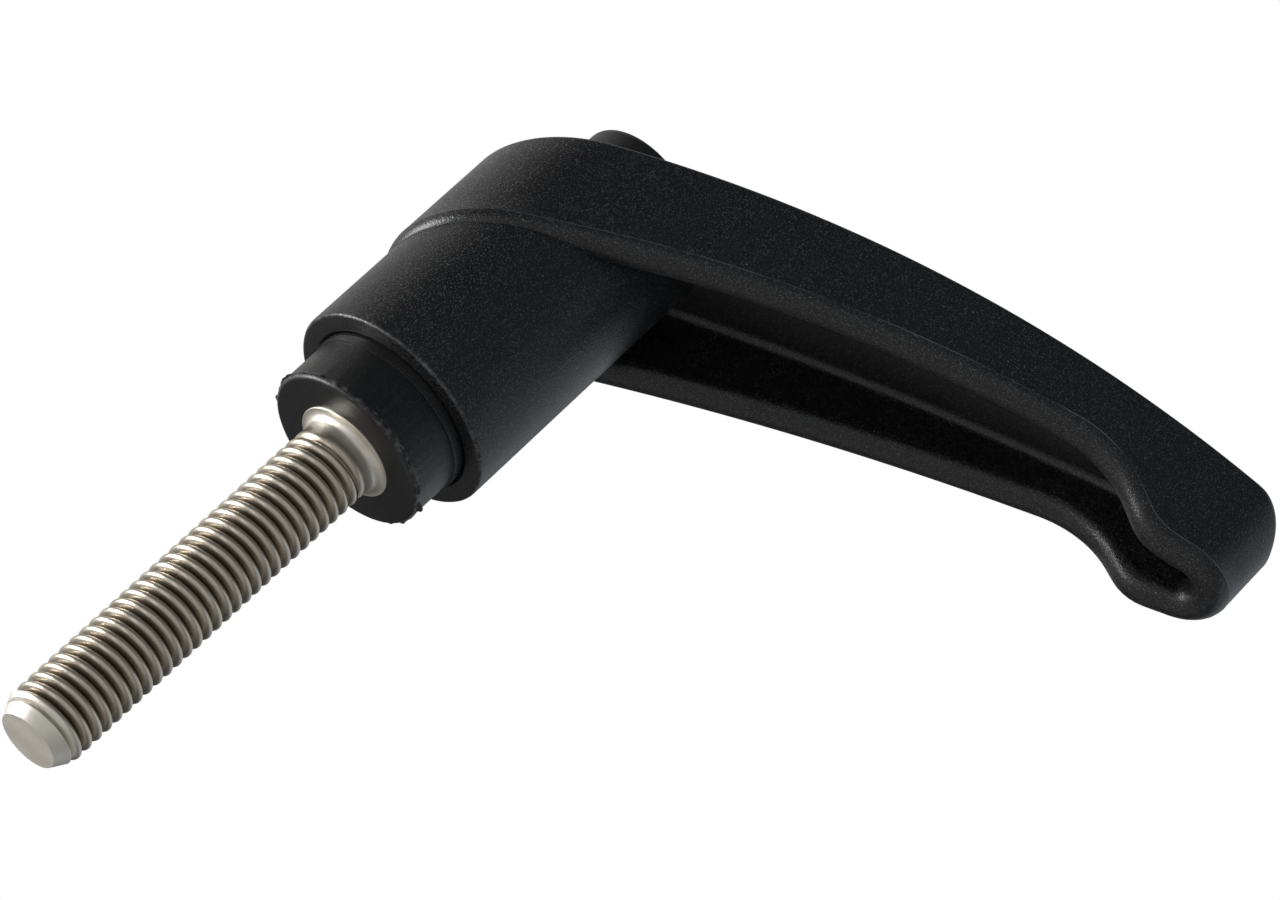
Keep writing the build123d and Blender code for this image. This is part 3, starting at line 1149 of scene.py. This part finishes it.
@dataclass
class Stud:
    """Threaded stud with its flared collar and the head inside the sleeve."""

    crest_radius: float = 3.935 * MM
    root_radius: float = 3.2 * MM
    pitch: float = 1.25 * MM
    length: float = 40.0 * MM
    tip_face: float = 2.95 * MM
    chamfer: float = 1.9 * MM
    plain_radius: float = 3.86 * MM
    fade_from: float = 4.4 * MM
    fade_to: float = 0.95 * MM
    thread_end: float = 0.9 * MM
    flare: float = 0.6 * MM
    flare_bow: float = 0.07 * MM
    flare_steps: int = 8
    rim_width: float = 0.38 * MM
    rim_edge: float = 0.04 * MM
    collar_radius: float = 4.89 * MM
    collar_top: float = 3.0 * MM
    key_half_width: float = 5.1 * MM
    key_sides: int = 6
    spigot_sides: int = 96
    key_top: float = 13.0 * MM
    top: float = 17.0 * MM
    steps_per_turn: int = 72
    profile_steps: int = 22
    crest_power: float = 2.0
    first_crest: float = 37.74 * MM
    spare_turns: int = 3
    weld: float = 2e-6
    unevenness: float = 0.012 * MM
    unevenness_scale: float = 900.0
    smallest: float = 0.1 * MM
    tip_shares: tuple[float, float] = (0.6, 0.02)

    def thread_profile(self) -> Points:
        """Draw one pitch of the rolled thread: a broad round crest between two narrow roots.

        Returns:
            Radius and height of its points.
        """
        depth, count = self.crest_radius - self.root_radius, self.profile_steps
        shares = [i / count - 0.5 for i in range(count + 1)]
        return [(self.crest_radius - depth * abs(2 * share) ** self.crest_power, share * self.pitch)
                for share in shares]

    def thread(self) -> BMesh:
        """Make the helical surface from the tip to the collar.

        Returns:
            The surface, open at both ends.
        """
        bm = bmesh.new()
        start = -self.first_crest - self.spare_turns * self.pitch
        turns = math.ceil((-start - self.thread_end) / self.pitch) + 1
        add_chain(bm, [Vector((r, 0, start + z + turn * self.pitch))
                       for turn in range(turns) for r, z in self.thread_profile()[:-1]])
        spin(bm, self.steps_per_turn, rise=self.pitch / self.steps_per_turn)
        bmesh.ops.remove_doubles(bm, verts=bm.verts, dist=self.weld)
        return bm

    def shape_ends(self, bm: BMesh) -> None:
        """Turn the tip's chamfer and fade the thread out before the collar.

        Args:
            bm: The thread.
        """
        slope = (self.crest_radius - self.tip_face) / self.chamfer
        for vert in bm.verts:
            place = flat(vert.co)
            radius = place.length + self.unevenness * ripple(vert.co, self.unevenness_scale)
            fade = smoothstep(-self.fade_from, -self.fade_to, vert.co.z)
            radius += (self.plain_radius - radius) * fade
            radius = min(radius, self.tip_face + slope * (vert.co.z + self.length))
            vert.co = place.normalized() * max(radius, self.smallest) + Vector((0, 0, vert.co.z))

    @staticmethod
    def trim(bm: BMesh, height: float, above: bool) -> list:
        """Cut the surface off at a height.

        Args:
            bm: The surface.
            height: Where it is cut.
            above: Drop what lies above the cut, and not what lies below it.

        Returns:
            The edges of the cut.
        """
        geom = list(bm.verts) + list(bm.edges) + list(bm.faces)
        made = bmesh.ops.bisect_plane(bm, geom=geom, dist=1e-8, plane_co=(0, 0, height),
                                      plane_no=(0, 0, 1), clear_outer=above, clear_inner=not above)
        return [g for g in made["geom_cut"] if isinstance(g, bmesh.types.BMEdge)]

    @staticmethod
    def add_rows(bm: BMesh, edges: list, rows: Points) -> None:
        """Carry a round edge through rows and close it at the last.

        Args:
            bm: The surface.
            edges: Its round edge.
            rows: Radius and height of each row.
        """
        for radius, height in rows:
            made = bmesh.ops.extrude_edge_only(bm, edges=edges)["geom"]
            for vert in verts_in(made):
                vert.co = flat(vert.co).normalized() * radius + Vector((0, 0, height))
            edges = open_edges(made)
        bmesh.ops.contextual_create(bm, geom=edges)

    def collar_rows(self) -> Points:
        """Draw the hollow flare, the collar's face and its side.

        Returns:
            Radius and height of each row.
        """
        rim, small = self.collar_radius, self.rim_edge
        inner = rim - self.rim_width
        rows = []
        for step in range(self.flare_steps):
            share = step / self.flare_steps
            bow = self.flare_bow * math.sin(math.pi * share)
            rows.append((self.plain_radius + (inner - self.plain_radius) * share - bow,
                         -self.flare * (1 - share) + bow))
        return [*rows, (inner - small / 2, -small / 2), (inner + small / 2, 0.0),
                (rim - small, 0.0), (rim, small),
                (rim, self.collar_top), (self.smallest, self.collar_top)]

    def head(self) -> BMesh:
        """Make the keyed head and the spigot, hidden in the sleeve.

        Returns:
            Both as closed shapes.
        """
        bm = bmesh.new()
        turn = math.pi / self.key_sides
        corner = self.key_half_width / math.cos(turn)
        for low, high, radius, sides in (
                (self.collar_top, self.key_top, corner, self.key_sides),
                (self.key_top, self.top, self.collar_radius, self.spigot_sides)):
            place = Matrix.Translation((0, 0, (low + high) / 2)) @ Matrix.Rotation(turn, 4, "Z")
            bmesh.ops.create_cone(bm, cap_ends=True, segments=sides, depth=high - low,
                                  radius1=radius, radius2=radius, matrix=place)
        return bm

    def build(self, material: Material) -> Piece:
        """Make the stud and set it on its body.

        Args:
            material: Its finish.

        Returns:
            The stud.
        """
        bm = self.thread()
        self.shape_ends(bm)
        tip = self.trim(bm, -self.length, above=False)
        self.add_rows(bm, tip, [(self.tip_face * share, -self.length) for share in self.tip_shares])
        self.add_rows(bm, self.trim(bm, -self.thread_end, above=True), self.collar_rows())
        bmesh.ops.recalc_face_normals(bm, faces=bm.faces)
        join_mesh(bm, self.head())
        piece = make_piece("stud_turning", bm, sharp_angle=40, material=material)
        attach(piece, "insert")
        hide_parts("threaded_stud")
        return piece


@dataclass
class Spring:
    """Coil spring between the lever's web and the screw's head."""

    coil_radius: float = 3.25 * MM
    wire_radius: float = 0.35 * MM
    wire_sides: int = 14
    turns: float = 7.5
    steps_per_turn: int = 40

    def build(self, material: Material) -> Piece:
        """Make the spring and set it on its body; it does not shorten as the lever lifts.

        Args:
            material: Its finish.

        Returns:
            The spring.
        """
        low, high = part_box("return_spring")
        rise = high.z - low.z - 2 * self.wire_radius
        steps = int(self.turns * self.steps_per_turn)
        bm = bmesh.new()
        ring = bmesh.ops.create_circle(bm, segments=self.wire_sides, radius=self.wire_radius)["verts"]
        place = Matrix.Translation((self.coil_radius, 0, low.z + self.wire_radius))
        bmesh.ops.transform(bm, matrix=place @ Matrix.Rotation(math.pi / 2, 4, "X"), verts=ring)
        spin(bm, steps, angle=FULL_TURN * self.turns, rise=rise / steps)
        bmesh.ops.holes_fill(bm, edges=open_edges(bm.edges))
        bmesh.ops.recalc_face_normals(bm, faces=bm.faces)
        piece = make_piece("spring_coil", bm, sharp_angle=50, material=material)
        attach(piece, "spring")
        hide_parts("return_spring")
        travel = next(j for j in frame["joints"] if j["name"] == "lift")["range_m"][1]
        keep = 1 - travel / (high.z - low.z)
        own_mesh(piece)
        return piece


@dataclass
class Button:
    """Button cap snapped over the screw's head."""

    edge: float = 0.8 * MM
    edge_steps: int = 6
    dome: float = 0.3 * MM
    dome_shares: tuple[float, ...] = (0.75, 0.5, 0.25, 0.0)
    wall: float = 1.25 * MM
    clearance: float = 0.05 * MM
    socket_depth: float = 4.1 * MM
    lip: float = 0.7 * MM
    lip_radius: float = 3.75 * MM
    steps: int = 160

    def build(self, material: Material) -> Piece:
        """Make the button and set it on its body.

        Args:
            material: Its finish.

        Returns:
            The button.
        """
        low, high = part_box("push_button")
        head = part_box("retaining_screw")[1]
        radius, socket = (high.x - low.x) / 2, head.x + self.clearance
        inner, shoulder = radius - self.wall, radius - self.edge
        roof = head.z + self.clearance
        lip_top = roof - self.socket_depth
        centre = (shoulder, high.z - self.dome - self.edge)
        rounded = arc(centre, self.edge, 0, 80, self.edge_steps)
        crown = [(shoulder * s, high.z - self.dome * s * s) for s in self.dome_shares]
        profile = [(0, roof), (socket, roof), (socket, lip_top), (self.lip_radius, lip_top),
                   (self.lip_radius, lip_top - self.lip), (inner, lip_top - self.lip), (inner, low.z),
                   (radius, low.z), *rounded, *crown]
        piece = make_piece("button_cap", lathe(profile, self.steps), sharp_angle=35, material=material)
        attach(piece, "insert")
        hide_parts("push_button")
        return piece


# ---- studio

@dataclass(frozen=True)
class Panel:
    """Broad soft patch of light in the room. Its side is its shares of right, up and back."""

    side: tuple[float, float, float]
    strength: float
    fade_from: float
    full_from: float
    colour: Colour = WHITE


@dataclass(frozen=True)
class Lamp:
    """Oblong lamp that faces the part. Its side is its shares of right, up and back."""

    name: str
    side: tuple[float, float, float]
    along: tuple[float, float, float]
    size: tuple[float, float]
    radiance: float
    colour: Colour = WHITE


@dataclass
class Studio:
    """Camera, lamps, floor and the white room round the part."""

    ambient: Colour = (0.03, 0.03, 0.032)
    lamp_distance: float = 0.6
    floor_colour: Colour = (0.82, 0.82, 0.82)
    floor_drop: float = 12 * MM
    floor_lift: float = 0.42
    floor_size: float = 1.6
    patch_place: tuple[float, float, float] = (-8 * MM, 26 * MM, 0.0)
    patch_reach: float = 28 * MM
    patch_gain: float = 2.5
    patch_glow: float = 0.36
    panels: tuple[Panel, ...] = (
        Panel((-0.50, 0.55, -0.67), 0.56, 0.47, 0.94, (1.0, 1.0, 0.97)),
        Panel((0.80, -0.35, -0.50), 0.57, 0.45, 0.93, COOL),
        Panel((-0.45, -0.45, 0.77), 0.42, 0.0, 0.8),
        Panel((0.62, 0.50, 0.60), 0.175, 0.2, 0.95, COOL),
        Panel((-0.66, -0.55, -0.51), 0.05, 0.5, 0.97),
    )
    lamps: tuple[Lamp, ...] = (
        Lamp("side", (-0.93, 0.34, 0.05), (0.0, 0.0, 1.0), (0.27, 0.35), 12.5),
        Lamp("front", (-0.68, 0.02, 0.73), (0.4, 0.9, 0.0), (0.12, 0.30), 1.0, (0.93, 0.96, 1.0)),
    )
    camera_place: Vector = field(default_factory=lambda: Vector((143.91, -373.99, -200.53)) * MM)
    camera_aim: Vector = field(default_factory=lambda: Vector((18.89, -0.57, 17.99)) * MM)
    camera_roll: float = 46.36
    lens: float = 143.81
    sensor: float = 36.0
    clip_from: float = 0.01

    def camera(self) -> None:
        """Set the camera below the part, rolled so that the arm runs across the view."""
        data = bpy.data.cameras.new("camera")
        data.lens = self.lens
        data.sensor_width = self.sensor
        data.clip_start = self.clip_from
        made = bpy.data.objects.new("camera", data)
        facing = (self.camera_aim - self.camera_place).to_track_quat("-Z", "Y").to_matrix().to_4x4()
        roll = Matrix.Rotation(math.radians(self.camera_roll), 4, "Z")
        made.matrix_world = Matrix.Translation(self.camera_place) @ facing @ roll
        bpy.context.scene.collection.objects.link(made)
        bpy.context.scene.camera = made

    @staticmethod
    def toward(right: float, up: float, back: float) -> Vector:
        """Direction given by its shares of the view's right, up and back."""
        axes = bpy.context.scene.camera.matrix_world.to_3x3().col
        return (axes[0] * right + axes[1] * up + axes[2] * back).normalized()

    def hang(self, lamp: Lamp) -> None:
        """Hang an oblong lamp that faces the part.

        Args:
            lamp: Its place, size and light.
        """
        data = bpy.data.lights.new(lamp.name, "AREA")
        data.shape = "RECTANGLE"
        data.size, data.size_y = lamp.size
        data.energy = lamp.radiance * math.pi * lamp.size[0] * lamp.size[1]
        data.color = lamp.colour
        made = bpy.data.objects.new(lamp.name, data)
        away = self.toward(*lamp.side)
        made.location = self.camera_aim + away * self.lamp_distance
        across = away.cross(self.toward(*lamp.along)).normalized()
        made.rotation_euler = Matrix((across, away.cross(across), away)).transposed().to_euler()
        made.visible_camera = False
        bpy.context.scene.collection.objects.link(made)

    def floor(self) -> None:
        """Lay a pale floor under the stud, seen only from above."""
        bm = bmesh.new()
        bmesh.ops.create_grid(bm, x_segments=1, y_segments=1, size=self.floor_size)
        made = make_object("floor", bm)
        made.location.z = CAD_BOX[0][2] - self.floor_drop
        surface = Surface("pale_floor")
        surface.shade({"Base Color": self.floor_colour, "Roughness": 0.9})
        path = surface.node("LightPath")
        rays = ("Shadow", "Glossy", "Camera")
        shadow, glossy, seen = (surface.out(path, f"Is {ray} Ray") for ray in rays)
        below = surface.out(surface.node("NewGeometry"), "Backfacing")
        lift = surface.out(surface.node("Emission", {"Strength": seen * self.floor_lift}))
        plain = surface.out(surface.node("AddShader", {0: surface.out(surface.shader), 1: lift}))
        clear = surface.out(surface.node("BsdfTransparent"))
        lit = surface.out(surface.node("AddShader", {0: clear, 1: self.patch(surface, glossy)}))
        shown = surface.node("MixShader", {0: shadow.most(glossy).most(below), 1: plain, 2: lit})
        surface.feed(surface.tree.nodes["Material Output"].inputs[0], surface.out(shown))
        dress(made, surface.material)

    def patch(self, surface: Surface, glossy: Signal) -> Signal:
        """Soft pale patch on the floor beyond the tip, seen only as a reflection.

        Args:
            surface: The floor's material.
            glossy: 1 for the rays of a reflection.

        Returns:
            The patch's glow.
        """
        away = surface.node("VectorMath", {0: surface.place, 1: self.patch_place}, operation="DISTANCE")
        share = (1.0 - surface.out(away, "Value") / self.patch_reach).clamped()
        glow = (share * self.patch_gain).clamped() * self.patch_glow
        return surface.out(surface.node("Emission", {"Strength": glow * glossy}))

    def lobe(self, room: Graph, way: Signal, panel: Panel) -> Signal:
        """Make one broad soft patch of light in the room.

        Args:
            room: The room's node tree.
            way: Direction in which the room is looked at.
            panel: The patch.

        Returns:
            Its colour in that direction.
        """
        facing = room.node("VectorMath", {0: way, 1: self.toward(*panel.side)}, operation="DOT_PRODUCT")
        rise = {"Value": room.out(facing, "Value"), "From Min": panel.fade_from,
                "From Max": panel.full_from, "To Max": panel.strength}
        ramp = room.out(room.node("MapRange", rise, interpolation_type="SMOOTHSTEP"))
        return room.mix(ramp, (0.0, 0.0, 0.0), panel.colour)

    def room(self) -> None:
        """Room that is white where it is seen, and lights the part from soft patches."""
        world = bpy.data.worlds.new("room")
        bpy.context.scene.world = world
        world.use_nodes = True
        room = Graph(world.node_tree)
        shade = room.tree.nodes["Background"]
        way = room.out(room.node("TexCoord"), "Generated")
        light: object = self.ambient
        for panel in self.panels:
            light = room.mix(1.0, light, self.lobe(room, way, panel), blend="ADD")
        path = room.node("LightPath")
        seen = room.out(path, "Is Camera Ray").most(room.out(path, "Is Transmission Ray"))
        room.feed(shade.inputs["Color"], room.mix(seen, light, WHITE))
        shade.inputs["Strength"].default_value = 1.0

    def build(self) -> None:
        """Set up everything round the part."""
        self.camera()
        self.floor()
        self.room()
        for lamp in self.lamps:
            self.hang(lamp)
        bpy.context.scene.view_settings.view_transform = "Standard"


def main() -> None:
    """Build the pieces in order and report each one."""
    logging.basicConfig(level=logging.INFO)
    Studio().build()
    groups = Groups()
    hub, foot, shank = Lever(), Sleeve(), Stud()
    # Each plastic's crest colour is partly grain tone and partly a painted glint.
    lever_black = MouldedPlastic(
        "lever_plastic", grain_and_glint_colour=(0.078, 0.080, 0.088),
        roughness=0.34, grain_depth=0.000035, dust=0.02,
        edges=(WornEdge(hub.hub_radius, hub.hub_bottom, width=0.35 * MM),
               WornEdge(hub.bore_radius, hub.hub_bottom, width=0.2 * MM)))
    sleeve_black = MouldedPlastic(
        "sleeve_plastic", grain_and_glint_colour=(0.023, 0.0235, 0.026),
        roughness=0.38, grain_depth=0.00002, dust=0.014,
        edges=(WornEdge(foot.foot_radius, foot.setback + 0.3 * MM, width=0.45 * MM),
               WornEdge(foot.foot_radius + 0.2 * MM, foot.groove_z + 0.1 * MM, width=0.22 * MM)))
    button_black = MouldedPlastic(
        "button_plastic", grain_and_glint_colour=(0.018, 0.018, 0.019),
        roughness=0.4, grain_depth=0.00002, dust=0.006)
    # The stud's root colour is painted shade in the roots of its thread.
    stud_steel = TurnedSteel(
        "stainless_steel", colour=(0.84, 0.80, 0.72), dark=(0.70, 0.66, 0.58), root_shade=(0.24, 0.20, 0.155),
        roughness=0.29, line_depth=0.00001, rolled=(0.76, 0.72, 0.68), crest=shank.crest_radius,
        depth=shank.crest_radius - shank.root_radius, low=shank.chamfer - shank.length,
        high=-shank.fade_to, satin=0.12)
    screw_steel = TurnedSteel(
        "screw_steel", colour=(0.60, 0.585, 0.56), dark=(0.45, 0.43, 0.41), root_shade=(0.45, 0.43, 0.41),
        roughness=0.3, line_depth=0.00002)
    wire_steel = TurnedSteel(
        "spring_steel", colour=(0.55, 0.54, 0.52), dark=(0.40, 0.39, 0.37), root_shade=(0.40, 0.39, 0.37),
        roughness=0.28, line_depth=0.00001)
    made = [
        hub.build(lever_black.build(groups)),
        foot.build(sleeve_black.build(groups)),
        Button().build(button_black.build(groups)),
        shank.build(stud_steel.build(groups)),
        Spring().build(wire_steel.build(groups)),
    ]
    screw = frame["nodes"]["retaining_screw"]
    dress(screw, screw_steel.build(groups))
    for piece in [*made, screw]:
        log.info("%s: %d faces", piece.name, len(piece.data.polygons))


if __name__ == "__main__":
    main()
